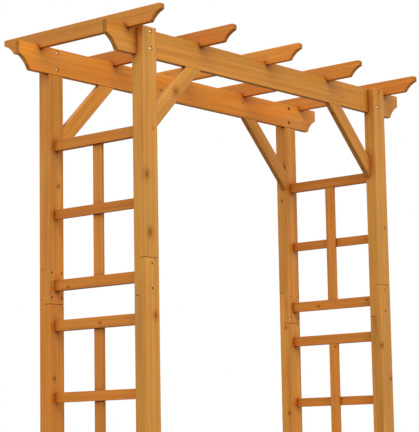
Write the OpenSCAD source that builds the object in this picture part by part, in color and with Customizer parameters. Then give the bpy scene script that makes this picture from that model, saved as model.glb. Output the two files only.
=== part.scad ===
// Garden arbor with a slatted roof and open trellis sides.
//
// The frame stands with its span along X, its depth along Y and its feet on Z = 0.
// The origin is on the ground, in the middle of the four posts.
// Every post is two lengths joined by a half lap. The beams are let into the inner
// side of the post heads, and the rafters are notched over the beams.

/* [Overall] */
// Height from the ground to the top of the rafters
overall_h = 2100; // [1800:10:2600]
// Distance between the centres of the left and right posts
span = 1215; // [1000:5:1600]
// Depth over the outer faces of the front and back posts
side_depth = 444; // [340:2:640]

/* [Posts] */
// Width of a post along the span
post_w = 62; // [50:1:90]
// Depth of a post
post_d = 45; // [38:1:70]
// Distance from the post head down to the top of the half lap
lap_drop = 701; // [650:1:800]
// Length of the half lap
lap_len = 111; // [80:1:160]

/* [Beams] */
// Height of a beam
beam_h = 86; // [70:1:110]
// Thickness of a beam
beam_t = 18; // [14:1:24]
// Length of a beam past the outer side of a post
beam_overhang = 126.5; // [100:0.5:180]
// Height of the square nose at a beam's end
beam_nose = 40; // [30:1:50]
// Length of the cove behind the nose
beam_cove_len = 47; // [35:1:60]
// Radius of the cove
beam_cove_r = 84; // [60:1:120]

/* [Rafters] */
// Height of a rafter
rafter_h = 51; // [44:1:70]
// Thickness of a rafter
rafter_t = 18; // [14:1:24]
// Length of a rafter past the outer face of a post
rafter_overhang = 113; // [80:1:160]
// Depth of the notch that sits over a beam
rafter_notch = 11.5; // [6:0.5:18]
// Side clearance of the notch
notch_clear = 0.25; // [0.1:0.05:0.6]
// Distance from a beam's end to the middle of the outer rafter
rafter_inset = 91; // [70:1:105]
// Height of the square nose at a rafter's end
rafter_nose = 19; // [14:1:24]
// Length of the cove behind the nose
rafter_cove_len = 43; // [30:1:55]
// Radius of the cove
rafter_cove_r = 72; // [50:1:100]

/* [Braces] */
// Distance from the post to the far end of a brace, along the beam
brace_reach = 237; // [180:5:320]
// Distance from the beam down to the foot of a brace
brace_drop = 237; // [180:5:320]
// Width of a brace
brace_w = 49; // [35:1:60]
// Thickness of a brace
brace_t = 20; // [14:1:24]

/* [Side rails] */
// Height of a frame rail
rail_h = 34; // [28:1:45]
// Thickness of a frame rail
rail_t = 20; // [16:1:30]
// Height of a cross rail
cross_rail_h = 31; // [24:1:40]
// Distance from the post head down to the top rail
top_rail_drop = 297; // [260:1:340]
// Distance from the top of the lap down to the rail that is fixed in it
lap_rail_drop = 36; // [20:1:60]
// Distance from the bottom of the lap down to the next rail
below_lap_drop = 50; // [30:1:80]
// Height of the bottom rail's upper edge above the ground
bottom_rail_z = 312; // [200:5:400]

/* [Slats] */
// Width of an upright slat
slat_w = 38; // [28:1:50]

/* [Hidden] */
$fn = 96;

// Sides of the frame, as the sign of X or of Y
LEFT = -1;
RIGHT = 1;
FRONT = -1;
BACK = 1;

// Heights
post_top = overall_h - rafter_h + rafter_notch;
beam_bottom = post_top - beam_h;
lap_top = post_top - lap_drop;
lap_bottom = lap_top - lap_len;

// Depths: the inner faces of the posts, beams and braces are in one plane
inner_y = side_depth / 2 - post_d;
lap_d = post_d / 2;

// Lengths
beam_len = span + post_w + 2 * beam_overhang;
rafter_len = side_depth + 2 * rafter_overhang;
rafter_pitch = (beam_len - 2 * rafter_inset) / 4;

// Upper edges of the rails, from the top down: three above the lap, five below it
upper_first = post_top - top_rail_drop;
upper_last = lap_top - lap_rail_drop;
lower_first = lap_bottom - below_lap_drop;
upper_pitch = (upper_first - upper_last) / 2;
lower_pitch = (lower_first - bottom_rail_z) / 4;
rail_tops = concat(
    [for (i = [0:2]) upper_first - i * upper_pitch],
    [for (i = [0:4]) lower_first - i * lower_pitch]
);
cross_t = rail_t / 2;

// Stain colours of the fir
post_colour = "#C4883F";
beam_colour = "#C27C34";
rafter_colour = "#BF7430";
brace_colour = "#C8873E";
rail_colour = "#BE7631";
slat_colour = "#C07A36";

// Extrudes an outline drawn in Y and Z along X, centred on X = 0.
module along_x(length) {
    rotate([90, 0, 90]) linear_extrude(height = length, center = true) children();
}

// Extrudes an outline drawn in X and Z along Y, centred on Y = 0.
module along_y(length) {
    rotate([90, 0, 0]) linear_extrude(height = length, center = true) children();
}

// Draws its children, which are made for the back, on the given side in Y.
module on_depth_side(side) {
    mirror([0, side == FRONT ? 1 : 0, 0]) children();
}

// Outline of a timber with a square nose and a hollow cove under each end.
// The bottom edge lies on Y = 0. One circle through the foot and the tip makes each cove.
module coved_board(length, height, nose, cove_len, cove_r) {
    foot = [length / 2 - cove_len, 0];
    tip = [length / 2, height - nose];
    chord = tip - foot;
    chord_len = norm(chord);
    outward = [chord[1], -chord[0]] / chord_len;
    centre = (foot + tip) / 2 + outward * sqrt(cove_r * cove_r - chord_len * chord_len / 4);
    difference() {
        translate([-length / 2, 0]) square([length, height]);
        for (side = [LEFT, RIGHT]) translate([side * centre[0], centre[1]]) circle(r = cove_r);
    }
}

// Upper length of a post: notched at the head for the beam, and with its tongue inside.
module post_upper(x_side, y_side) {
    color(post_colour)
    translate([x_side * span / 2, 0, 0])
    on_depth_side(y_side)
    along_x(post_w)
    translate([inner_y, 0])
    polygon([
        [0, lap_bottom], [lap_d, lap_bottom], [lap_d, lap_top], [post_d, lap_top],
        [post_d, post_top], [beam_t, post_top], [beam_t, beam_bottom], [0, beam_bottom],
    ]);
}

// Lower length of a post: it stands on the ground, with its tongue outside.
module post_lower(x_side, y_side) {
    color(post_colour)
    translate([x_side * span / 2, 0, 0])
    on_depth_side(y_side)
    along_x(post_w)
    translate([inner_y, 0])
    polygon([
        [0, 0], [post_d, 0], [post_d, lap_top],
        [lap_d, lap_top], [lap_d, lap_bottom], [0, lap_bottom],
    ]);
}

// Beam along the span, let into the inner side of the post heads.
module beam(y_side) {
    color(beam_colour)
    translate([0, y_side * (inner_y + beam_t / 2), beam_bottom])
    along_y(beam_t)
    coved_board(beam_len, beam_h, beam_nose, beam_cove_len, beam_cove_r);
}

// Rafter across the beams, notched down over both of them.
module rafter(index) {
    notch_w = beam_t + 2 * notch_clear;
    color(rafter_colour)
    translate([(index - 3) * rafter_pitch, 0, post_top - rafter_notch])
    along_x(rafter_t)
    difference() {
        coved_board(rafter_len, rafter_h, rafter_nose, rafter_cove_len, rafter_cove_r);
        for (side = [FRONT, BACK])
            translate([side * (inner_y + beam_t / 2) - notch_w / 2, -rafter_notch])
            square([notch_w, 2 * rafter_notch]);
    }
}

// Corner brace between a post and the beam, with both ends cut to seat flat.
module brace(x_side, y_side) {
    lean = atan2(brace_drop, brace_reach);
    short_reach = brace_reach - brace_w / sin(lean);
    short_drop = brace_drop - brace_w / cos(lean);
    color(brace_colour)
    translate([0, y_side * (inner_y + brace_t / 2), beam_bottom])
    mirror([x_side == RIGHT ? 1 : 0, 0, 0])
    translate([-(span - post_w) / 2, 0, 0])
    along_y(brace_t)
    polygon([
        [0, -brace_drop], [brace_reach, 0], [short_reach, 0], [0, -short_drop],
    ]);
}

// Frame rail of a side, full thickness, between the inner faces of two posts.
module frame_rail(x_side, index) {
    color(rail_colour)
    translate([x_side * span / 2 - rail_t / 2, -inner_y, rail_tops[index - 1] - rail_h])
    cube([rail_t, 2 * inner_y, rail_h]);
}

// Cross rail of a side: half as thick, on the outer half, so that the slat passes inside it.
module cross_rail(x_side, index) {
    outer_x = x_side == LEFT ? -cross_t : 0;
    color(rail_colour)
    translate([x_side * span / 2 + outer_x, -inner_y, rail_tops[index - 1] - cross_rail_h])
    cube([cross_t, 2 * inner_y, cross_rail_h]);
}

// Upright slat of a side, on the inner half, between two frame rails.
module slat(x_side, upper_index, lower_index) {
    inner_x = x_side == LEFT ? 0 : -cross_t;
    top = rail_tops[upper_index - 1] - rail_h;
    bottom = rail_tops[lower_index - 1];
    color(slat_colour)
    translate([x_side * span / 2 + inner_x, -slat_w / 2, bottom])
    cube([cross_t, slat_w, top - bottom]);
}

post_upper(LEFT, FRONT);  // front_left_post_upper
post_lower(LEFT, FRONT);  // front_left_post_lower
post_upper(RIGHT, FRONT);  // front_right_post_upper
post_lower(RIGHT, FRONT);  // front_right_post_lower
post_upper(LEFT, BACK);  // back_left_post_upper
post_lower(LEFT, BACK);  // back_left_post_lower
post_upper(RIGHT, BACK);  // back_right_post_upper
post_lower(RIGHT, BACK);  // back_right_post_lower
beam(FRONT);  // front_beam
beam(BACK);  // back_beam
rafter(1);  // rafter_1
rafter(2);  // rafter_2
rafter(3);  // rafter_3
rafter(4);  // rafter_4
rafter(5);  // rafter_5
brace(LEFT, FRONT);  // front_left_brace
brace(RIGHT, FRONT);  // front_right_brace
brace(LEFT, BACK);  // back_left_brace
brace(RIGHT, BACK);  // back_right_brace
frame_rail(LEFT, 1);  // left_rail_1
cross_rail(LEFT, 2);  // left_rail_2
frame_rail(LEFT, 3);  // left_rail_3
frame_rail(LEFT, 4);  // left_rail_4
cross_rail(LEFT, 5);  // left_rail_5
cross_rail(LEFT, 6);  // left_rail_6
cross_rail(LEFT, 7);  // left_rail_7
frame_rail(LEFT, 8);  // left_rail_8
frame_rail(RIGHT, 1);  // right_rail_1
cross_rail(RIGHT, 2);  // right_rail_2
frame_rail(RIGHT, 3);  // right_rail_3
frame_rail(RIGHT, 4);  // right_rail_4
cross_rail(RIGHT, 5);  // right_rail_5
cross_rail(RIGHT, 6);  // right_rail_6
cross_rail(RIGHT, 7);  // right_rail_7
frame_rail(RIGHT, 8);  // right_rail_8
slat(LEFT, 1, 3);  // left_slat_upper
slat(LEFT, 4, 8);  // left_slat_lower
slat(RIGHT, 1, 3);  // right_slat_upper
slat(RIGHT, 4, 8);  // right_slat_lower
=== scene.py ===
# %% [markdown]
# # A garden arbor in stained fir
# The arbor is a flat-packed arch of planed fir: four posts in two lengths each, two beams,
# five rafters, corner braces and two open trellis sides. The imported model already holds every
# timber at its real size. This file gives each one its eased edges, its grain and its stain,
# and adds the screws and bolts that hold the arch together.

import math
import random

import bmesh
import bpy
from mathutils import Matrix, Vector


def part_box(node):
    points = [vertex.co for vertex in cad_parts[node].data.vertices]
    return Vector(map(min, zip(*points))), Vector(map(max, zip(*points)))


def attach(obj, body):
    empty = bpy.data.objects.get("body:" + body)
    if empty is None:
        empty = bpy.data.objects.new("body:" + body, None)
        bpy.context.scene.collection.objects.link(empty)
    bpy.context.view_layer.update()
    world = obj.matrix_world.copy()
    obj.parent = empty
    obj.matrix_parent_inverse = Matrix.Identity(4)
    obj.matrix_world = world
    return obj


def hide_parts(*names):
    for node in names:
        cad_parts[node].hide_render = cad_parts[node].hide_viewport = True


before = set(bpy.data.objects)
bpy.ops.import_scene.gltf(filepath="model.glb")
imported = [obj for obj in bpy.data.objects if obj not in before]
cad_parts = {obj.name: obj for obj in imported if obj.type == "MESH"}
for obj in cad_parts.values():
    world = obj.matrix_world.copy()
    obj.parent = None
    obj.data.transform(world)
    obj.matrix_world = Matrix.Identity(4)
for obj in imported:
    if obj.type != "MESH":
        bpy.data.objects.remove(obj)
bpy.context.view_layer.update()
MM = 0.001

# %% [markdown]
# The axes get names, so that the rest reads like a joiner's notes. The span runs along X, the
# depth along Y and the height along Z. The front left post stands for all four, because the
# others mirror it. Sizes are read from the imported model's boxes and are not typed in again, so
# the screws and pockets follow when a size changes.

# %% Directions and the places that the hardware needs
SPAN = Vector((1, 0, 0))
DEPTH = Vector((0, 1, 0))
UP = Vector((0, 0, 1))
SIDES = {"left": -1, "right": 1}
DEPTHS = {"front": -1, "back": 1}


def middle_of(node):
    """The middle of a packed timber's box."""
    low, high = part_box(node)
    return (low + high) / 2


upper_low, upper_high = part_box("front_left_post_upper")
lower_low, lower_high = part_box("front_left_post_lower")
lap_bottom, lap_top = upper_low.z, lower_high.z
post_top = upper_high.z
post_middle = -middle_of("front_left_post_lower").x
post_inside = -lower_high.x
outer_face, inner_face = -lower_low.y, -lower_high.y
lap_plane = (outer_face + inner_face) / 2
beam_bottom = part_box("front_beam")[0].z
beam_middle = middle_of("back_beam").y
rafter_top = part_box("rafter_1")[1].z
brace_middle = middle_of("back_left_brace").y
print(f"posts {post_middle * 2:.3f} m apart, head at {post_top:.3f} m, "
      f"lap {lap_bottom:.3f} to {lap_top:.3f} m")

# %% [markdown]
# A finish colour is written as the hex value that a paint card would give. Blender mixes light
# with linear numbers, so one function turns the one into the other. A second small function adds
# a shader node with its settings and links. With it a material reads from top to bottom.

# %% Colour and node helpers


def linear(hex_value):
    """Linear red, green, blue and alpha of an sRGB hex value such as C98C46."""
    channels = [int(hex_value[i:i + 2], 16) / 255 for i in (0, 2, 4)]
    return [c / 12.92 if c <= 0.04045 else ((c + 0.055) / 1.055) ** 2.4 for c in channels] + [1.0]


def add_node(tree, kind, inputs=(), **settings):
    """Adds a node. Each input is given a value, or the output of another node to be linked to."""
    node = tree.nodes.new(kind)
    for name, value in settings.items():
        setattr(node, name, value)
    for key, value in dict(inputs).items():
        if isinstance(value, bpy.types.NodeSocket):
            tree.links.new(value, node.inputs[key])
        else:
            node.inputs[key].default_value = value
    return node


print("honey stain C98C46 is", [round(c, 3) for c in linear("C98C46")[:3]], "in linear light")

# %% [markdown]
# ## Stained fir
# Fir is a softwood with pale earlywood and thin dark latewood lines, which are rings round the
# heart of the log. A board shows them as long stripes or as arches, depending on how it was
# sawn. Painting stripes on each face would break at the edges. Here each board is cut out of a
# virtual log instead: every point knows how far it lies along, across and through the board, and
# how far from the heart, so the stripes on the faces meet the arcs on the end grain.
#
# The numbers are real ones. Fir grows 2 to 5 mm a year, its fibres show as streaks of about
# 1 mm, and a planed face is rough by a few hundredths of a millimetre. The rings are drawn at
# the coarse end of that, the broad streaks at 9 mm and the relief at a tenth of a millimetre,
# because finer ones don't show from 5 m.

# %% Real sizes of the grain
RING_SPACING = 4.6 * MM
RING_WANDER = 5 * MM
KNOT_SWIRL = 5 * MM
LOG_TAPER = 0.035
RELIEF = 0.12 * MM
# Width and length of each pattern, and how many layers of finer noise it has
PATTERNS = {
    "streak": (9 * MM, 420 * MM, 3.0),
    "fibre": (1.1 * MM, 60 * MM, 2.0),
    "blotch": (55 * MM, 260 * MM, 2.0),
    "band": (26 * MM, 900 * MM, 1.0),
}
print("growth rings every", round(RING_SPACING / MM, 1), "mm, patterns:", ", ".join(PATTERNS))

# %% Patterns in the log
SEED_SPREAD = 61.0
KNOT_STRETCH = 0.75


def board_patterns(tree, grain, seed):
    """Noise drawn out along the board, one for each pattern. The seed moves it to the board's own place."""
    found = {}
    for pattern, (width, length, detail) in PATTERNS.items():
        stretch = (1 / length, 1 / width, 1 / width)
        place = add_node(tree, "ShaderNodeVectorMath", {0: grain, 1: stretch, 2: seed},
                         operation="MULTIPLY_ADD").outputs[0]
        found[pattern] = add_node(tree, "ShaderNodeTexNoise",
                                  {"Vector": place, "Scale": 1.0, "Detail": detail}).outputs["Fac"]
    return found


def knot_distance(tree, grain, knot, knot_size):
    """Distance from the nearest knot, in knot radii. A knot is drawn out a little along the grain."""
    offset = add_node(tree, "ShaderNodeVectorMath", {0: grain, 1: knot}, operation="SUBTRACT").outputs[0]
    offset = add_node(tree, "ShaderNodeVectorMath", {0: offset, 1: (KNOT_STRETCH, 1, 1)},
                      operation="MULTIPLY").outputs[0]
    distance = add_node(tree, "ShaderNodeVectorMath", {0: offset}, operation="LENGTH").outputs["Value"]
    return add_node(tree, "ShaderNodeMath", {0: distance, 1: knot_size}, operation="DIVIDE").outputs[0]


def latewood_lines(tree, grain, heart, blotch, knot_gap):
    """Rings round the heart, bent by the trunk's wander and by the knot: 1 in the latewood, else 0."""
    swirl = add_node(tree, "ShaderNodeMapRange", {"Value": knot_gap, "From Min": 3.4, "From Max": 0.8},
                     interpolation_type="SMOOTHERSTEP").outputs[0]
    from_heart = add_node(tree, "ShaderNodeVectorMath", {0: grain, 1: heart}, operation="SUBTRACT").outputs[0]
    from_heart = add_node(tree, "ShaderNodeVectorMath", {0: from_heart, 1: (LOG_TAPER, 1, 1)},
                          operation="MULTIPLY").outputs[0]
    radius = add_node(tree, "ShaderNodeVectorMath", {0: from_heart}, operation="LENGTH").outputs["Value"]
    for bend, strength in ((blotch, RING_WANDER), (swirl, KNOT_SWIRL)):
        radius = add_node(tree, "ShaderNodeMath", {0: bend, 1: strength, 2: radius},
                          operation="MULTIPLY_ADD").outputs[0]
    year = add_node(tree, "ShaderNodeMath", {0: radius, 1: RING_SPACING}, operation="DIVIDE").outputs[0]
    year = add_node(tree, "ShaderNodeMath", {0: year}, operation="FRACT").outputs[0]
    ring_ramp = add_node(tree, "ShaderNodeValToRGB", {"Fac": year})
    spring, autumn = ring_ramp.color_ramp.elements
    spring.position = 0.25
    spring.color = (0, 0, 0, 1)
    autumn.position = 0.84
    autumn.color = (1, 1, 1, 1)
    next_spring = ring_ramp.color_ramp.elements.new(1.0)
    next_spring.color = (0, 0, 0, 1)
    return ring_ramp.outputs["Color"]


print("a knot is", round(1 / KNOT_STRETCH, 2), "times as long as wide")

# %% [markdown]
# The stain is a honey-coloured oil glaze. It is soaked up by the soft earlywood, stands darker on
# open end grain, and turns brown over a knot. Along the eased edges it is made a little lighter,
# partly as stain rubbed thin and partly as a painted highlight. The corners where two timbers meet
# are darkened with painted shade, and the Ambient Occlusion node finds those corners. The finish
# is satin: an IOR near 1.5, a roughness of about 0.5 and a faint clear coat. What is the same
# everywhere sits on the shader's own sockets. Only colour, roughness and relief vary.

# %% Stain colours: the plain honey and the warmer amber of each kind of board
FINISHES = {
    "post_fir": ("D2943F", "CC7F2C"),
    "beam_fir": ("D08E38", "D98229"),
    "rafter_fir": ("D08C36", "D07A28"),
    "brace_fir": ("D4943F", "CE822E"),
    "rail_fir": ("CC822E", "CA7426"),
    "slat_fir": ("D08834", "CC7A2B"),
}
LATEWOOD = "98541A"
LATEWOOD_SHARE = 0.13
KNOT_HALO = "AA6210"
KNOT_DISC = "8A4E0C"
KNOT_PITH = "5C2E04"
# Painted shade: the tint and reach of the darkening in the corners where two timbers meet
CORNER_SHADE_TINT = "943C08"
CORNER_SHADE_REACH = 28 * MM
END_DARKENING = 0.62
# Eased edges are lightened: partly stain rubbed thin, partly a painted highlight
ARRIS_WEAR_AND_HIGHLIGHT = 1.07
SATIN = {"IOR": 1.5, "Specular IOR Level": 0.22, "Coat Weight": 0.03, "Coat Roughness": 0.3}
# The reach printed here is how far the painted corner shade spreads
print("kinds of board:", len(FINISHES), "- stain pools up to", round(CORNER_SHADE_REACH / MM), "mm from a corner")

# %% Material: planed fir with a honey oil stain


def stain_and_painted_shade_layers(tree, patterns, latewood, warmth, knot_gap, knot_size, amber):
    """The tints that lie over the plain honey, each with its share, from the lowest up; the last is painted
    shade in the corners.
    """
    # Amber by board and blotch, and the darker latewood
    blotch_warmth = add_node(tree, "ShaderNodeMapRange", {"Value": patterns["blotch"], "From Min": 0.38,
                                                          "From Max": 0.68, "To Max": 0.5}).outputs[0]
    amber_share = add_node(tree, "ShaderNodeMath", {0: warmth, 1: blotch_warmth}, operation="ADD",
                           use_clamp=True).outputs[0]
    late_share = add_node(tree, "ShaderNodeMath", {0: latewood, 1: LATEWOOD_SHARE},
                          operation="MULTIPLY").outputs[0]
    layers = [(amber_share, amber), (late_share, LATEWOOD)]

    # A knot: a wide soft halo, a brown disc and a dark pith. Small pin knots have the darkest disc
    disc_share = add_node(tree, "ShaderNodeMapRange", {"Value": knot_size, "From Min": 2.5 * MM,
                                                       "From Max": 8 * MM, "To Min": 0.95,
                                                       "To Max": 0.56}).outputs[0]
    for tint, outside, inside, full_share in ((KNOT_HALO, 2.8, 0.9, 0.55), (KNOT_DISC, 1.2, 0.7, disc_share),
                                              (KNOT_PITH, 0.45, 0.2, 0.7)):
        share = add_node(tree, "ShaderNodeMapRange", {"Value": knot_gap, "From Min": outside,
                                                      "From Max": inside, "To Max": full_share},
                         interpolation_type="SMOOTHSTEP").outputs[0]
        layers.append((share, tint))

    # Painted shade: the corners where two timbers meet, found by the Ambient Occlusion node, are darkened
    corner = add_node(tree, "ShaderNodeAmbientOcclusion", {"Distance": CORNER_SHADE_REACH}, samples=8).outputs["AO"]
    painted_corner_shade = add_node(tree, "ShaderNodeMapRange", {"Value": corner, "From Min": 0.35, "From Max": 0.95,
                                                   "To Min": 0.88, "To Max": 0.0}).outputs[0]
    return layers + [(painted_corner_shade, CORNER_SHADE_TINT)]


def stained_fir(name, honey, amber):
    """Planed, honey-stained fir. honey is the plain colour and amber the warmer one of some boards."""
    material = bpy.data.materials.new(name)
    material.use_nodes = True
    tree = material.node_tree
    shader = tree.nodes["Principled BSDF"]
    for socket, value in SATIN.items():
        shader.inputs[socket].default_value = value

    # What each board brings with it, as attributes of its mesh
    grain, heart, knot = (add_node(tree, "ShaderNodeAttribute", attribute_name=label).outputs["Vector"]
                          for label in ("grain", "heart", "knot"))
    knot_size, tone, warmth, end_grain, arris = (
        add_node(tree, "ShaderNodeAttribute", attribute_name=label).outputs["Fac"]
        for label in ("knot_size", "tone", "warmth", "end_grain", "arris"))
    seed = add_node(tree, "ShaderNodeVectorMath", {0: heart, "Scale": SEED_SPREAD},
                    operation="SCALE").outputs[0]
    patterns = board_patterns(tree, grain, seed)
    knot_gap = knot_distance(tree, grain, knot, knot_size)
    latewood = latewood_lines(tree, grain, heart, patterns["blotch"], knot_gap)

    colour = linear(honey)
    for share, tint in stain_and_painted_shade_layers(tree, patterns, latewood, warmth, knot_gap, knot_size, amber):
        colour = add_node(tree, "ShaderNodeMix", {0: share, 6: colour, 7: linear(tint)},
                          data_type="RGBA").outputs[2]

    # Light and dark: streaks, bands, fibres, end grain, eased edges (stain rubbed thin and a painted
    # highlight) and the board's own tone
    light = tone
    for source, low, high, light_at_low, light_at_high in (
            (patterns["streak"], 0.25, 0.75, 0.84, 1.13), (patterns["band"], 0.3, 0.7, 0.9, 1.09),
            (patterns["fibre"], 0.2, 0.8, 0.93, 1.06), (end_grain, 0.0, 1.0, 1.0, END_DARKENING),
            (arris, 0.0, 1.0, 1.0, ARRIS_WEAR_AND_HIGHLIGHT)):
        factor = add_node(tree, "ShaderNodeMapRange", {"Value": source, "From Min": low, "From Max": high,
                                                       "To Min": light_at_low,
                                                       "To Max": light_at_high}).outputs[0]
        light = add_node(tree, "ShaderNodeMath", {0: light, 1: factor}, operation="MULTIPLY").outputs[0]
    colour = add_node(tree, "ShaderNodeVectorMath", {0: colour, "Scale": light}, operation="SCALE").outputs[0]

    # Satin roughness, duller on open end grain, and the relief of the fibres and latewood
    dullness = add_node(tree, "ShaderNodeMath", {0: patterns["streak"], 1: 0.16, 2: 0.40},
                        operation="MULTIPLY_ADD").outputs[0]
    dullness = add_node(tree, "ShaderNodeMath", {0: end_grain, 1: 0.25, 2: dullness},
                        operation="MULTIPLY_ADD").outputs[0]
    height = add_node(tree, "ShaderNodeMath", {0: latewood, 1: 0.5, 2: patterns["fibre"]},
                      operation="MULTIPLY_ADD").outputs[0]
    bump = add_node(tree, "ShaderNodeBump", {"Height": height, "Distance": RELIEF, "Strength": 0.6})
    tree.links.new(colour, shader.inputs["Base Color"])
    tree.links.new(dullness, shader.inputs["Roughness"])
    tree.links.new(bump.outputs["Normal"], shader.inputs["Normal"])
    return material


firs = {slot: stained_fir(f"planed_fir_honey_oil_{slot}", *colours) for slot, colours in FINISHES.items()}
print("wood finishes:", ", ".join(firs))

# %% [markdown]
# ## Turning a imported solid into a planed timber
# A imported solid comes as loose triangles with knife-sharp edges. It could be kept and given a
# Bevel modifier, but a bevel needs whole faces and joined corners. So a copy is welded, its flat
# triangles are merged, and its outward edges are eased with a small round, as a planer's
# sandpaper leaves them. Inward corners, such as the notches, stay crisp.

# %% Weld, merge and ease
WELD_DISTANCE = 0.01 * MM
FLAT_ANGLE = math.radians(0.6)
SHARP_ANGLE = math.radians(20)
EASE_STEPS = 2
POCKET_MOUTH = 1.3


def welded_copy(node):
    """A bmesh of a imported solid, with its corners joined and its flat triangles merged."""
    form = bmesh.new()
    form.from_mesh(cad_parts[node].data)
    bmesh.ops.remove_doubles(form, verts=form.verts, dist=WELD_DISTANCE)
    bmesh.ops.dissolve_limit(form, angle_limit=FLAT_ANGLE, verts=form.verts, edges=form.edges)
    return form


def round_edges(form, edges, radius, steps):
    """Rounds the given edges and returns the faces that the rounding made."""
    made = bmesh.ops.bevel(form, geom=edges, offset=radius, offset_type="OFFSET", segments=steps,
                           profile=0.5, affect="EDGES", clamp_overlap=True, material=-1)
    return made["faces"]


def outward_edges(form, pockets):
    """The sharp edges that point outwards, without the pockets' mouths and the long edges of the laps."""
    found = []
    for edge in form.edges:
        if not edge.is_manifold or not edge.is_convex or edge.calc_face_angle() < SHARP_ANGLE:
            continue
        middle = (edge.verts[0].co + edge.verts[1].co) / 2
        if abs(abs(middle.y) - lap_plane) < WELD_DISTANCE and lap_bottom < middle.z < lap_top:
            continue
        if all((middle - point).length > radius * POCKET_MOUTH for point, _, radius, _ in pockets):
            found.append(edge)
    return found


print("edges sharper than", round(math.degrees(SHARP_ANGLE)), "degrees are eased in", EASE_STEPS, "steps")

# %% [markdown]
# Screws sit in shallow pockets, which catch a dark shadow. The pocket is real geometry, cut with
# a Boolean: a short cylinder for each screw is taken away from the timber. The cylinder stands
# half in and half out of the wood, so that the cut never has to decide about two faces in one
# plane. A pocket is written as its place, the way that it faces, its radius and its depth.

# %% Screw pockets
POCKET_SIDES = 24
SCREW_POCKET = (4.0 * MM, 3.4 * MM)
BOLT_POCKET = (6.8 * MM, 2.2 * MM)


def frame_at(point, facing):
    """The matrix that puts a piece made on Z = 0, looking along +Z, on a face of the timber."""
    return Matrix.Translation(point) @ facing.to_track_quat("Z", "Y").to_matrix().to_4x4()


def cut_pockets(form, pockets):
    """Takes a pocket out of the timber at each point, square to the way that the face looks."""
    cutter = bmesh.new()
    for point, facing, radius, depth in pockets:
        bmesh.ops.create_cone(cutter, cap_ends=True, segments=POCKET_SIDES, radius1=radius,
                              radius2=radius, depth=2 * depth, matrix=frame_at(point, facing))
    solids = []
    for part in (form, cutter):
        mesh = bpy.data.meshes.new("cutting")
        part.to_mesh(mesh)
        part.free()
        solids.append(bpy.data.objects.new("cutting", mesh))
        bpy.context.scene.collection.objects.link(solids[-1])
    cut = solids[0].modifiers.new("pockets", "BOOLEAN")
    cut.operation = "DIFFERENCE"
    cut.solver = "EXACT"
    cut.object = solids[1]
    result = solids[0].evaluated_get(bpy.context.evaluated_depsgraph_get())
    timber = bmesh.new()
    timber.from_mesh(result.to_mesh())
    for solid in solids:
        mesh = solid.data
        bpy.data.objects.remove(solid)
        bpy.data.meshes.remove(mesh)
    return timber


print("screw pockets, radius and depth in metres:", SCREW_POCKET, "and for bolts:", BOLT_POCKET)

# %% [markdown]
# Now the board meets its log. `grain` holds each corner's distance along, across and through the
# board. `heart` says where the middle of the log runs, which is drawn by lot for each board, with
# a fixed seed so that every run gives the same timber. A knot sits at one point on a face. The
# board is cut across halfway between two knots, and each face then carries the knot next to it,
# so a material with room for one knot can show several on one board.

# %% Lay the grain
NO_KNOT = (Vector((0, 0, -1)), 0.5 * MM)
HEART_ALONG = (0.2, 0.8)
HEART_ACROSS = (-0.5, 0.5)
HEART_BEHIND = (28 * MM, 90 * MM)
TONE_SPREAD = (0.975, 1.025)
END_FACING = 0.8
lots = random.Random(216)


def draw_heart(length, width):
    """Where the log's heart runs: as shares of the length and width, and behind one face or the other."""
    return Vector((lots.uniform(*HEART_ALONG) * length, lots.uniform(*HEART_ACROSS) * width,
                   lots.choice((-1, 1)) * lots.uniform(*HEART_BEHIND)))


def lay_grain(form, in_board, along, heart, spots, tone, warmth):
    """Writes on each corner where it lies in the log, and on each face its knot, tone and warmth."""
    grain_layer = form.verts.layers.float_vector.new("grain")
    heart_layer = form.verts.layers.float_vector.new("heart")
    for vert in form.verts:
        vert[grain_layer] = in_board(vert.co)
        vert[heart_layer] = heart
    knot_layer = form.faces.layers.float_vector.new("knot")
    size_layer = form.faces.layers.float.new("knot_size")
    tone_layer = form.faces.layers.float.new("tone")
    warmth_layer = form.faces.layers.float.new("warmth")
    end_layer = form.faces.layers.float.new("end_grain")
    for face in form.faces:
        place = in_board(face.calc_center_median()).x
        knot, size = min(spots, key=lambda spot: abs(spot[0].x - place)) if spots else NO_KNOT
        face[knot_layer] = knot
        face[size_layer] = size
        face[tone_layer] = tone
        face[warmth_layer] = warmth
        face[end_layer] = 1.0 if abs(face.normal.dot(along)) > END_FACING else 0.0
        face.smooth = True


print("the heart of a log lies", HEART_BEHIND, "m behind a face")

# %% Make a finished timber
NOSE_STEPS = 5
SMOOTH_ANGLE = math.radians(50)


def upper_noses(form, high):
    """The short top edge at each end of a rafter."""
    found = []
    for edge in form.edges:
        start, end = (vert.co for vert in edge.verts)
        on_top = abs(start.z - high.z) < WELD_DISTANCE and abs(end.z - high.z) < WELD_DISTANCE
        at_end = abs(abs(start.y) - high.y) < WELD_DISTANCE and abs(start.y - end.y) < WELD_DISTANCE
        if on_top and at_end:
            found.append(edge)
    return found


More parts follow.
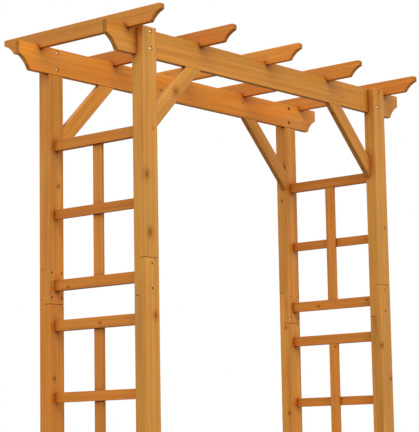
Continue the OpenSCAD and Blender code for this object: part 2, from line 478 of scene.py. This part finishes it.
def make_timber(node, slot, along, across, ease, tone=1.0, warmth=0.0, knots=(), pockets=(), nose_round=0.0):
    """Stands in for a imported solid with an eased, pocketed and grained board in the given finish."""
    low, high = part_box(node)
    start = min((low, high), key=lambda corner: corner.dot(along))
    middle = (low + high) / 2
    origin = middle + along * (start - middle).dot(along)
    through = along.cross(across)

    def in_board(point):
        offset = point - origin
        return Vector((offset.dot(along), offset.dot(across), offset.dot(through)))

    form = welded_copy(node)
    if nose_round:
        round_edges(form, upper_noses(form, high), nose_round, NOSE_STEPS)
    if pockets:
        form = cut_pockets(form, pockets)
    eased_faces = set(round_edges(form, outward_edges(form, pockets), ease, EASE_STEPS))
    # The faces that the easing made are marked, to be lightened as wear and as a painted highlight
    arris_layer = form.faces.layers.float.new("arris")
    for face in eased_faces:
        if face.is_valid:
            face[arris_layer] = 1.0
    spots = sorted(((in_board(point), size) for point, size in knots), key=lambda spot: spot[0].x)
    for lower, upper in zip(spots, spots[1:]):
        halfway = origin + along * (lower[0].x + upper[0].x) / 2
        bmesh.ops.bisect_plane(form, geom=form.verts[:] + form.edges[:] + form.faces[:],
                               dist=WELD_DISTANCE, plane_co=halfway, plane_no=along)
    heart = draw_heart((high - low).length, abs((high - low).dot(across)))
    lay_grain(form, in_board, along, heart, spots, tone * lots.uniform(*TONE_SPREAD), warmth)

    mesh = bpy.data.meshes.new(node + "_timber")
    form.to_mesh(mesh)
    form.free()
    mesh.set_sharp_from_angle(angle=SMOOTH_ANGLE)
    mesh.materials.append(firs[slot])
    piece = bpy.data.objects.new(node + "_timber", mesh)
    bpy.context.scene.collection.objects.link(piece)
    shading = piece.modifiers.new("flat faces stay flat", "WEIGHTED_NORMAL")
    shading.keep_sharp = True
    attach(piece, "root")
    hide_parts(node)
    return piece


print("faces that meet at less than", round(math.degrees(SMOOTH_ANGLE)), "degrees are shaded as one")

# %% [markdown]
# ## Posts
# Each post is two lengths with a half lap between them, about two thirds of the way up. The lap
# is closed with screws: two in the middle of the outer face, and four near the corners of the
# inner face, above and below the rail. The knots are placed one by one, where a plain stretch would
# otherwise look too even. Each is a place in metres, X, Y and Z, and a radius in millimetres.

# %% Knots and finishes of the posts
left_post, right_post = -post_middle, post_middle
front_face = -outer_face
KNOTS = {
    "front_left_post_upper": ((left_post - 19 * MM, front_face, 1.608, 8.5),
                              (left_post - 8 * MM, front_face, 1.435, 9),
                              (left_post + 13 * MM, front_face, 1.750, 2.4)),
    "front_left_post_lower": ((left_post + 13 * MM, front_face, 1.189, 7.5),
                              (left_post - 10 * MM, front_face, 0.64, 6.0)),
    "front_right_post_upper": ((right_post + 12 * MM, front_face, 1.56, 3.2),),
    "front_right_post_lower": ((right_post - 27 * MM, front_face, 1.146, 6.0),
                               (right_post + 19 * MM, front_face, 1.032, 5.0),
                               (right_post + 5 * MM, front_face, 0.52, 6.0)),
    "back_left_post_upper": ((left_post + 8 * MM, inner_face, 1.62, 4.5),),
    "back_left_post_lower": ((left_post - 12 * MM, inner_face, 1.02, 5.0),
                             (left_post + 9 * MM, inner_face, 0.47, 5.0)),
    "back_right_post_upper": ((post_inside, inner_face + 22 * MM, 1.70, 4.0),),
    "back_right_post_lower": ((post_inside, inner_face + 18 * MM, 1.234, 4.5),
                              (post_inside, inner_face + 11 * MM, 0.924, 5.0)),
}
# Tone and warmth of each post, and the one length that took up more of the warm stain
# The back posts' higher tone is partly painted light: it lightens them against the shade that they stand in
POST_TONE_WARMTH_AND_PAINTED_LIGHT = {"front_left": (1.01, 0.0), "front_right": (1.02, 0.1), "back_left": (1.1, 0.45),
               "back_right": (1.15, 0.35)}
EXTRA_WARMTH = {"back_left_post_lower": 0.4}


def placed_knots(node):
    """The knots of a board as points in metres and radii, from the list above."""
    return [(Vector((x, y, z)), size * MM) for x, y, z, size in KNOTS.get(node, ())]


print("knots on the posts:", sum(len(knots) for knots in KNOTS.values()))

# %% Build the eight post lengths
OUTER_LAP_SCREWS = (lap_top - 17 * MM, lap_bottom + 20 * MM)
INNER_LAP_SCREWS = (lap_top - 13 * MM, lap_bottom + 21 * MM)
INNER_SCREW_OFFSET = 21 * MM
POST_EASE = 2.2 * MM
BOLT_DROPS = (14 * MM, 67 * MM)
bolt_column = post_middle - 6 * MM
posts = []
lap_screws = {}
beam_bolts = {}
beam_nuts = {name: [] for name in DEPTHS}
for depth_name, depth_sign in DEPTHS.items():
    outward = DEPTH * depth_sign
    outer_y, inner_y = depth_sign * outer_face, depth_sign * inner_face
    for side_name, side in SIDES.items():
        corner = f"{depth_name}_{side_name}"
        screw_x, bolt_x = side * post_middle, side * bolt_column
        outer = [(Vector((screw_x, outer_y, z)), outward, *SCREW_POCKET) for z in OUTER_LAP_SCREWS]
        inner = [(Vector((screw_x + shift, inner_y, z)), -outward, *SCREW_POCKET)
                 for z in INNER_LAP_SCREWS for shift in (-INNER_SCREW_OFFSET, INNER_SCREW_OFFSET)]
        bolts = [(Vector((bolt_x, outer_y, post_top - drop)), outward, *BOLT_POCKET) for drop in BOLT_DROPS]
        nuts = [(Vector((bolt_x, inner_y, post_top - drop)), -outward, *BOLT_POCKET) for drop in BOLT_DROPS]
        beam_bolts[corner] = bolts + nuts
        beam_nuts[depth_name] += nuts
        lap_screws[corner] = outer + inner
        tone, warmth = POST_TONE_WARMTH_AND_PAINTED_LIGHT[corner]
        for length, pockets in (("upper", inner + bolts), ("lower", outer)):
            node = f"{corner}_post_{length}"
            posts.append(make_timber(node, "post_fir", UP, SPAN, POST_EASE, tone,
                                     warmth + EXTRA_WARMTH.get(node, 0.0), placed_knots(node), pockets))
print("post lengths:", len(posts), "with", sum(len(screws) for screws in lap_screws.values()), "lap screws")

# %% [markdown]
# ## Beams, rafters and braces
# These are boards sawn to an outline. Their grain runs the long way, and the coves at their ends
# cut across it, so the coves show the darker end grain where they face along the board. The
# rafters' upper noses are sanded rounder than the rest, because hands and rain reach them first.

# %% Build the roof
BOARD_EASE = 1.8 * MM
RAFTER_NOSE_ROUND = 6 * MM
BEAM_FINISH = {"front": (0.99, 0.05), "back": (1.16, 0.45)}
RAFTER_FINISH = {1: (1.03, 0.2), 2: (1.02, 0.7), 3: (1.2, 0.1), 4: (1.06, 0.5), 5: (1.05, 0.5)}
KNOTS["back_beam"] = ((-0.11, inner_face, beam_bottom + 30 * MM, 3.5),
                      (0.33, inner_face, beam_bottom + 52 * MM, 3.0))
KNOTS["front_beam"] = ((0.1, -inner_face, beam_bottom + 40 * MM, 4.0),
                       (0.42, front_face + 27 * MM, beam_bottom + 30 * MM, 2.5))
roof = []
for depth_name in DEPTHS:
    node = f"{depth_name}_beam"
    roof.append(make_timber(node, "beam_fir", SPAN, UP, BOARD_EASE, *BEAM_FINISH[depth_name],
                            placed_knots(node), beam_nuts[depth_name]))
rafter_screws = {}
for number, (tone, warmth) in RAFTER_FINISH.items():
    node = f"rafter_{number}"
    rafter_screws[node] = [(Vector((middle_of(node).x, sign * beam_middle, rafter_top)), UP, *SCREW_POCKET)
                           for sign in DEPTHS.values()]
    roof.append(make_timber(node, "rafter_fir", DEPTH, UP, BOARD_EASE, tone, warmth, (),
                            rafter_screws[node], RAFTER_NOSE_ROUND))
print("beams and rafters:", len(roof))

# %% [markdown]
# A brace leans from a post to a beam, with its screws through the lower face, square to the
# board. Its long edge runs between two corners of its box, so the climb is worked out from them.

# %% Build the corner braces
BRACE_SCREW_INSET = 47 * MM
BRACE_FINISH = {"front_left": (1.04, 0.1), "front_right": (0.91, 0.15), "back_left": (1.22, 0.3),
                "back_right": (1.1, 0.3)}
KNOTS["front_left_brace"] = ((-post_inside + 113 * MM, -(2 * brace_middle - inner_face), 1.888, 9),)
braces = []
brace_screws = {}
for depth_name in DEPTHS:
    for side_name, side in SIDES.items():
        corner = f"{depth_name}_{side_name}"
        node = f"{corner}_brace"
        low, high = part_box(node)
        y = middle_of(node).y
        long_foot = Vector((side * post_inside, y, low.z))
        long_head = Vector((low.x if side > 0 else high.x, y, high.z))
        climb = (long_head - long_foot).normalized()
        facing = DEPTH.cross(climb) if side < 0 else climb.cross(DEPTH)
        brace_screws[node] = [(long_foot + climb * BRACE_SCREW_INSET, facing, *SCREW_POCKET),
                              (long_head - climb * BRACE_SCREW_INSET, facing, *SCREW_POCKET)]
        tone, warmth = BRACE_FINISH[corner]
        braces.append(make_timber(node, "brace_fir", climb, climb.cross(DEPTH), BOARD_EASE, tone, warmth,
                                  placed_knots(node), brace_screws[node]))
print("braces:", len(braces), "screwed through their lower faces")

# %% [markdown]
# ## Trellis sides
# The sides are plain planed laths. The thicker frame rails are the paler ones, the thin cross
# rails and upright slats have taken up a little more stain, and no two are quite alike, so their
# tone and warmth are drawn by lot.

# %% Build the rails and slats
LATH_EASE = 1.4 * MM
FRAME_RAILS = (1, 3, 4, 8)
SIDE_TONE = {"left": 1.0, "right": 1.05}
left_outside = -post_middle - 10 * MM
right_inside = post_middle - 10 * MM
KNOTS["left_rail_3"] = ((left_outside, 0.119, 1.298, 4.0),)
KNOTS["left_rail_4"] = ((left_outside, -0.015, 1.180, 4.0),)
KNOTS["right_rail_3"] = ((right_inside, 0.061, 1.303, 4.0), (right_inside, -0.150, 1.311, 3.0))
KNOTS["right_slat_lower"] = ((right_inside, -0.0095, 1.154, 3.5),)
trellis = []
for side_name, side_tone in SIDE_TONE.items():
    for number in range(1, 9):
        node = f"{side_name}_rail_{number}"
        tone = lots.uniform(1.04, 1.11) * side_tone
        warmth = lots.uniform(0.0, 0.2) if number in FRAME_RAILS else lots.uniform(0.2, 0.5)
        trellis.append(make_timber(node, "rail_fir", DEPTH, UP, LATH_EASE, tone, warmth, placed_knots(node)))
    for length in ("upper", "lower"):
        node = f"{side_name}_slat_{length}"
        tone = lots.uniform(1.05, 1.1) * side_tone
        warmth = lots.uniform(0.1, 0.4)
        trellis.append(make_timber(node, "slat_fir", UP, DEPTH, LATH_EASE, tone, warmth, placed_knots(node)))
print("rails and slats:", len(trellis))

# %% [markdown]
# ## Screws and bolts
# The lap, brace and rafter screws are countersunk, dark phosphated steel, sunk below the face.
# The beams are held by zinc-plated furniture bolts: a low dome with a hexagon socket outside, and
# the same dome on the sleeve nut inside. The pair at the back right is a dark one. Both heads
# grow from a flat disc that is raised. For the dome it is then inset again and again, with a
# lower rise each time. A spin would draw the dome too, but would need its profile typed in.

# %% Materials: phosphated steel and zinc-plated steel
PLATING_GRAIN = 0.8 * MM
PLATING_CAST = 0.08


def steel(name, hex_value, roughness):
    """Bare metal with a fine cast in its roughness, from the plating bath."""
    material = bpy.data.materials.new(name)
    material.use_nodes = True
    tree = material.node_tree
    shader = tree.nodes["Principled BSDF"]
    shader.inputs["Base Color"].default_value = linear(hex_value)
    shader.inputs["Metallic"].default_value = 1.0
    position = add_node(tree, "ShaderNodeTexCoord").outputs["Object"]
    cast = add_node(tree, "ShaderNodeTexNoise",
                    {"Vector": position, "Scale": 1 / PLATING_GRAIN}).outputs["Fac"]
    dullness = add_node(tree, "ShaderNodeMapRange", {"Value": cast, "To Min": roughness - PLATING_CAST,
                                                     "To Max": roughness + PLATING_CAST}).outputs[0]
    tree.links.new(dullness, shader.inputs["Roughness"])
    return material


zinc = steel("zinc_plated_steel", "E9DFC4", 0.34)
phosphate = steel("black_phosphated_steel", "1C1713", 0.62)
print("metals:", zinc.name, "and", phosphate.name)

# %% Head shapes
HEAD_SIDES = 24
SCREW_RADIUS = 3.4 * MM
SCREW_TAPER = 0.8
SCREW_SINK = 1.8 * MM
BOLT_RADIUS = 4.8 * MM
BOLT_COLLAR = 1.0 * MM
DOME_STEPS = ((0.5 * MM, 0.7 * MM), (0.8 * MM, 0.6 * MM), (1.0 * MM, 0.4 * MM), (0.8 * MM, 0.15 * MM))
SOCKET_RIM = 0.4 * MM
SOCKET_POINTS = 0.22
CROSS_RECESS = (4, 1.7 * MM, 0.9 * MM)
HEXAGON_SOCKET = (6, 1.9 * MM, 1.6 * MM)


def disc(form, radius, place):
    """A round face looking along +Z of its place, as the start of a head."""
    made = bmesh.ops.create_circle(form, cap_ends=True, segments=HEAD_SIDES, radius=radius, matrix=place)
    face = made["verts"][0].link_faces[0]
    face.normal_update()
    if face.normal.dot(place.to_3x3() @ UP) < 0:
        face.normal_flip()
    return face


def raise_face(form, face, distance):
    """Extrudes a face outwards and returns the new top face."""
    made = bmesh.ops.extrude_face_region(form, geom=[face])
    top = [item for item in made["geom"] if isinstance(item, bmesh.types.BMFace)][0]
    bmesh.ops.translate(form, verts=top.verts, vec=face.normal * distance)
    bmesh.ops.delete(form, geom=[face], context="FACES_ONLY")
    return top


def shape_socket(form, face, place, corners, radius, depth):
    """Insets a face, turns its outline into a star of the given corners and sinks it."""
    bmesh.ops.inset_region(form, faces=[face], thickness=SOCKET_RIM)
    centre = face.calc_center_median()
    inverse = place.to_3x3().inverted()
    for vert in face.verts:
        arm = inverse @ (vert.co - centre)
        turn = math.atan2(arm.y, arm.x) * corners
        reach = radius * (1 + SOCKET_POINTS * math.cos(turn))
        vert.co = centre + (vert.co - centre).normalized() * reach
    raise_face(form, face, -depth)


def countersunk_head(form, point, facing, depth):
    """A flat head with a cross recess, a little below the wood's face."""
    place = frame_at(point - facing * SCREW_SINK, facing)
    bottom = disc(form, SCREW_RADIUS * SCREW_TAPER, frame_at(point - facing * depth, facing))
    top = raise_face(form, bottom, depth - SCREW_SINK)
    bmesh.ops.scale(form, verts=top.verts, vec=(1 / SCREW_TAPER,) * 3, space=place.inverted())
    shape_socket(form, top, place, *CROSS_RECESS)


def dome_head(form, point, facing, depth):
    """A low dome with a hexagon socket, standing on the floor of its pocket."""
    place = frame_at(point - facing * depth, facing)
    top = raise_face(form, disc(form, BOLT_RADIUS, place), BOLT_COLLAR)
    for step, rise in DOME_STEPS:
        bmesh.ops.inset_region(form, faces=[top], thickness=step, depth=rise)
    shape_socket(form, top, place, *HEXAGON_SOCKET)


print("a screw head is", round(2 * SCREW_RADIUS / MM, 1), "mm wide,",
      "a bolt head", round(2 * BOLT_RADIUS / MM, 1), "mm")

# %% Fit the screws and bolts
DARK_BOLTS = "back_right"


def make_hardware(name, shape, pockets, material):
    """One piece from several heads of the same shape, one in each pocket."""
    form = bmesh.new()
    for point, facing, _, depth in pockets:
        shape(form, point, facing, depth)
    bmesh.ops.recalc_face_normals(form, faces=form.faces)
    mesh = bpy.data.meshes.new(name)
    form.to_mesh(mesh)
    form.free()
    mesh.materials.append(material)
    piece = bpy.data.objects.new(name, mesh)
    bpy.context.scene.collection.objects.link(piece)
    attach(piece, "root")
    return piece


hardware = []
for corner, bolts in beam_bolts.items():
    finish = phosphate if corner == DARK_BOLTS else zinc
    hardware.append(make_hardware(f"{corner}_beam_bolts", dome_head, bolts, finish))
for corner, screws in lap_screws.items():
    hardware.append(make_hardware(f"{corner}_lap_screws", countersunk_head, screws, phosphate))
for node, screws in {**brace_screws, **rafter_screws}.items():
    hardware.append(make_hardware(f"{node}_screws", countersunk_head, screws, phosphate))
print("pieces of hardware:", len(hardware))

# %% [markdown]
# ## Studio
# The arbor stands on a plain pale floor. The floor is mid grey to the light that it throws back
# on the wood, and pale to the camera, and it fades to white away from the arbor, so that its edge
# never shows. The Light Path node tells the two kinds of look apart.

# %% Floor
FLOOR_SIZE = 24.0
FADE_START = 2.4
FADE_END = 6.0
FLOOR_SEEN = "E4E3E0"
FLOOR_THROWN_BACK = "6A6866"
floor_mesh = bpy.data.meshes.new("studio_floor")
floor_form = bmesh.new()
bmesh.ops.create_grid(floor_form, x_segments=1, y_segments=1, size=FLOOR_SIZE / 2)
floor_form.to_mesh(floor_mesh)
floor_form.free()
floor = bpy.data.objects.new("studio_floor", floor_mesh)
bpy.context.scene.collection.objects.link(floor)

paper = bpy.data.materials.new("matt_studio_paper")
paper.use_nodes = True
tree = paper.node_tree
shader = tree.nodes["Principled BSDF"]
shader.inputs["Roughness"].default_value = 0.9
seen = add_node(tree, "ShaderNodeLightPath").outputs["Is Camera Ray"]
shade = add_node(tree, "ShaderNodeMix", {0: seen, 6: linear(FLOOR_THROWN_BACK), 7: linear(FLOOR_SEEN)},
                 data_type="RGBA").outputs[2]
tree.links.new(shade, shader.inputs["Base Color"])
position = add_node(tree, "ShaderNodeTexCoord").outputs["Object"]
distance = add_node(tree, "ShaderNodeVectorMath", {0: position}, operation="LENGTH").outputs["Value"]
fade = add_node(tree, "ShaderNodeMapRange", {"Value": distance, "From Min": FADE_START,
                                             "From Max": FADE_END},
                interpolation_type="SMOOTHERSTEP").outputs[0]
fade = add_node(tree, "ShaderNodeMath", {0: fade, 1: seen}, operation="MULTIPLY").outputs[0]
glow = add_node(tree, "ShaderNodeEmission", {"Color": (1, 1, 1, 1)}).outputs[0]
blend = add_node(tree, "ShaderNodeMixShader", {0: fade, 1: shader.outputs[0], 2: glow}).outputs[0]
tree.links.new(blend, tree.nodes["Material Output"].inputs["Surface"])
floor_mesh.materials.append(paper)
print("floor", FLOOR_SIZE, "m wide, white from", FADE_END, "m out")

# %% [markdown]
# The world is plain white to the camera and to reflections. To the wood it is a soft light,
# brighter from above than from below, as under a bright sky over a lawn.

# %% World
SKY_LIGHT = 1.1
GROUND_LIGHT = 0.16
world = bpy.data.worlds.new("studio")
bpy.context.scene.world = world
world.use_nodes = True
tree = world.node_tree
tree.nodes.clear()
path = add_node(tree, "ShaderNodeLightPath")
seen = path.outputs["Is Camera Ray"]
for ray in ("Is Glossy Ray", "Is Transmission Ray"):
    seen = add_node(tree, "ShaderNodeMath", {0: seen, 1: path.outputs[ray]}, operation="MAXIMUM").outputs[0]
direction = add_node(tree, "ShaderNodeTexCoord").outputs["Generated"]
height = add_node(tree, "ShaderNodeSeparateXYZ", {0: direction}).outputs["Z"]
dome = add_node(tree, "ShaderNodeMapRange", {"Value": height, "From Min": -0.6, "From Max": 0.9,
                                             "To Min": GROUND_LIGHT, "To Max": SKY_LIGHT}).outputs[0]
soft = add_node(tree, "ShaderNodeBackground", {"Color": (1, 1, 1, 1), "Strength": dome}).outputs[0]
white = add_node(tree, "ShaderNodeBackground", {"Color": (1, 1, 1, 1), "Strength": 1.0}).outputs[0]
mixed = add_node(tree, "ShaderNodeMixShader", {0: seen, 1: soft, 2: white}).outputs[0]
add_node(tree, "ShaderNodeOutputWorld", {"Surface": mixed})
print("sky light", SKY_LIGHT, "and ground light", GROUND_LIGHT)

# %% [markdown]
# A broad key lamp stands in front and to the left, so the faces that look forwards are a shade
# lighter than the sides. A weaker fill opens the left side, and a rim lamp stands behind on the
# right, for views from there.

# %% Lamps
MIDDLE = Vector((0, 0, 1.4))


def softbox(name, place, aim, size, power):
    """A square soft lamp at a place, turned to a point."""
    data = bpy.data.lights.new(name, "AREA")
    data.shape = "SQUARE"
    data.size = size
    data.energy = power
    lamp = bpy.data.objects.new(name, data)
    bpy.context.scene.collection.objects.link(lamp)
    lamp.location = place
    lamp.rotation_euler = (aim - place).to_track_quat("-Z", "Y").to_euler()
    return lamp


softbox("key", Vector((-1.6, -5.2, 4.4)), MIDDLE, 4.2, 180)
softbox("fill", Vector((-5.4, -0.8, 3.2)), MIDDLE, 3.4, 66)
softbox("rim", Vector((4.6, 4.2, 3.6)), MIDDLE, 3.4, 80)
print("lamps:", [light.name for light in bpy.data.lights])

# %% [markdown]
# ## Camera
# A long lens on a low tripod, looking up a little at the head of the arch.

# %% Place the camera
CAMERA_PLACE = Vector((-4.24651, -3.50354, 0.78093))
CAMERA_TURN = math.radians(-49.96)
CAMERA_TILT = math.radians(90 + 8.13)
CAMERA_ROLL = math.radians(-0.987)
camera = bpy.data.objects.new("camera", bpy.data.cameras.new("camera"))
bpy.context.scene.collection.objects.link(camera)
camera.data.sensor_width = 36
camera.data.lens = 139.124
turn = (Matrix.Rotation(CAMERA_TURN, 4, "Z") @ Matrix.Rotation(CAMERA_TILT, 4, "X")
        @ Matrix.Rotation(CAMERA_ROLL, 4, "Z"))
camera.matrix_world = Matrix.Translation(CAMERA_PLACE) @ turn
bpy.context.scene.camera = camera
bpy.context.scene.view_settings.view_transform = "Standard"
print("camera", round(CAMERA_PLACE.length, 2), "m from the middle of the feet")
